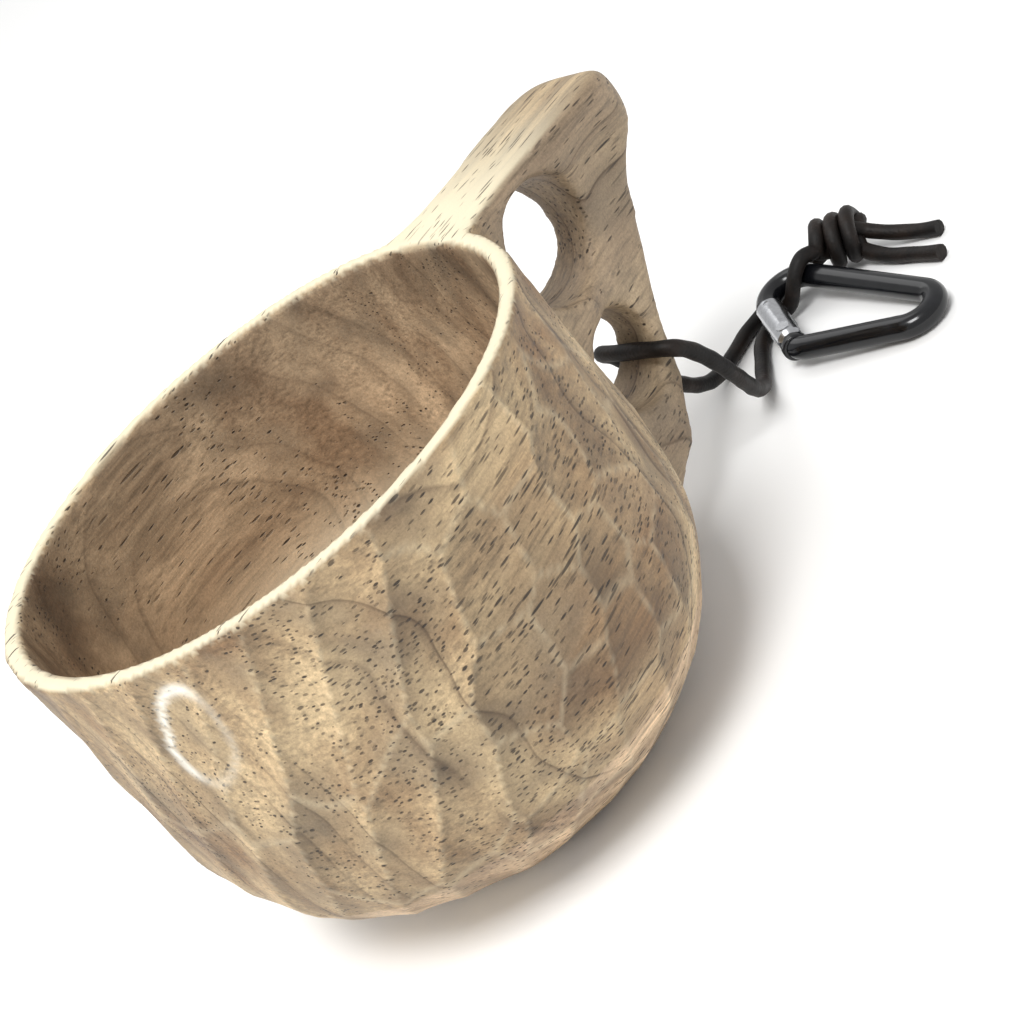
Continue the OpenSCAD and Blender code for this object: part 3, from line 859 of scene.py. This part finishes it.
def makeCup():
    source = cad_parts["cup_body"]
    piece = bpy.data.objects.new("kuksaCup", source.data.copy())
    bpy.context.collection.objects.link(piece)
    pick(piece)
    bpy.ops.object.mode_set(mode="EDIT")
    bpy.ops.mesh.select_all(action="SELECT")
    bpy.ops.mesh.remove_doubles(threshold=2e-6)
    bpy.ops.object.mode_set(mode="OBJECT")
    remesh = piece.modifiers.new("evenMesh", "REMESH")
    remesh.mode = "VOXEL"
    remesh.voxel_size = cup["meshStep"] * mm
    applyModifiers(piece)
    fit = piece.modifiers.new("backToShape", "SHRINKWRAP")
    fit.target = source
    fit.wrap_method = "NEAREST_SURFACEPOINT"
    applyModifiers(piece)
    print("cup remeshed:", len(piece.data.polygons), "faces")

    places = vertexPlaces(piece.data) / mm
    gap = bowlCoordinates(places)[1]
    rounded = piece.vertex_groups.new(name="handRounded")
    amount = easeStep(41, 50, places[:, 0]) * easeStep(-0.6, 0.8, gap) + 0.55 * easeStep(50, 54, places[:, 0])
    thumbEnd = 0.6 * easeStep(68, 78, places[:, 0]) * easeStep(40, 52, places[:, 2])
    amount = np.clip(amount, 0, 1) * (0.4 + thumbEnd)
    for level in range(1, 11):
        chosen = np.nonzero((amount > (level - 0.5) / 10) & (amount <= (level + 0.5) / 10))[0]
        rounded.add([int(i) for i in chosen], level / 10, "REPLACE")
    everywhere = piece.modifiers.new("sanded", "SMOOTH")
    everywhere.factor = 0.5
    everywhere.iterations = cup["edgeRounds"]
    handled = piece.modifiers.new("handRounded", "SMOOTH")
    handled.factor = 0.5
    handled.iterations = cup["handleRounds"]
    handled.vertex_group = "handRounded"
    applyModifiers(piece)

    places = vertexPlaces(piece.data) / mm
    radius, gap = bowlCoordinates(places)[:2]
    normals = np.empty(len(places) * 3)
    piece.data.vertices.foreach_get("normal", normals)
    normals = normals.reshape(-1, 3)
    x, y, z = places.T
    topFace = easeStep(0.55, 0.92, normals[:, 2]) * easeStep(64.5, 66.8, z)
    insideFace = (radius < cup["rim"] - cup["wall"] + 0.6) * easeStep(67.8, 66.6, z) * (z > 6.5)
    handleFace = easeStep(0.8, 3.0, gap) * (x > 30) * (1 - topFace)
    places, carved = carve(places)
    # painted shade on the inside, darker just under the rim
    carved["gougeShadeAndTone"] -= 0.42 * insideFace * easeStep(44, 64, z)  # painted browner just under the rim
    dish = cup["dish"] * np.exp(-(y / 5.5) ** 2) * easeStep(50, 66, x) * easeStep(86, 78, x) * topFace
    places[:, 2] -= dish
    setPlaces(piece.data, places * mm)
    for name, values in carved.items():
        keepValues(piece.data, name, values)
    # painted highlight on the up-facing rim and handle top, over paler sanded wood, fading towards the
    # handle's tip
    keepValues(piece.data, "rimSandedAndLit", topFace * (1 - 0.9 * easeStep(46, 80, x)))
    keepValues(piece.data, "insideTone", insideFace)
    keepValues(piece.data, "handleTone", handleFace)
    # painted highlight: a pale band low on the far inner wall
    paleBand = np.exp(-((z - cup["paleBandHeight"]) / cup["paleBandSpread"]) ** 2) * easeStep(-8, 22, y)
    keepValues(piece.data, "paleBandTone", insideFace * paleBand)
    for group in list(piece.vertex_groups):
        piece.vertex_groups.remove(group)
    dress(piece, woodMaterial)
    pick(piece)
    bpy.ops.object.shade_smooth()
    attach(piece, "cup")
    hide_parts("cup_body")
    print("cup carved:", len(piece.data.polygons), "faces")


makeCup()


studio = {
    "floor": "#fbfbfa",
    "sky": 0.66,
    "key": {"place": (-0.34, -0.36, 1.00), "size": 0.40, "power": 8.2},
    "top": {"place": (0.30, 0.75, 1.10), "size": 0.90, "power": 3.6},
    "left": {"place": (-0.75, 0.08, 0.36), "size": 0.25, "power": 0.9},
}


def makeStudio():
    bpy.ops.mesh.primitive_plane_add(size=8, location=(0, 0, -0.00005))
    floor = bpy.context.object
    floor.name = "floor"
    paint, shader = startMaterial("mattPaleBoard")
    shader.inputs["Base Color"].default_value = toLinear(studio["floor"])
    shader.inputs["Roughness"].default_value = 0.9
    dress(floor, paint)
    world = bpy.data.worlds.new("studioSky")
    world.use_nodes = True
    world.node_tree.nodes["Background"].inputs["Color"].default_value = (1, 1, 1, 1)
    world.node_tree.nodes["Background"].inputs["Strength"].default_value = studio["sky"]
    bpy.context.scene.world = world
    target = Vector((0.02, 0, 0.035))
    for name in ("key", "top", "left"):
        lamp = studio[name]
        bpy.ops.object.light_add(type="AREA", location=lamp["place"])
        light = bpy.context.object
        light.name = name + "Light"
        light.data.size = lamp["size"]
        light.data.energy = lamp["power"]
        light.rotation_euler = (target - Vector(lamp["place"])).to_track_quat("-Z", "Y").to_euler()
    bpy.context.scene.view_settings.view_transform = "Standard"
    print("studio lit")


makeStudio()
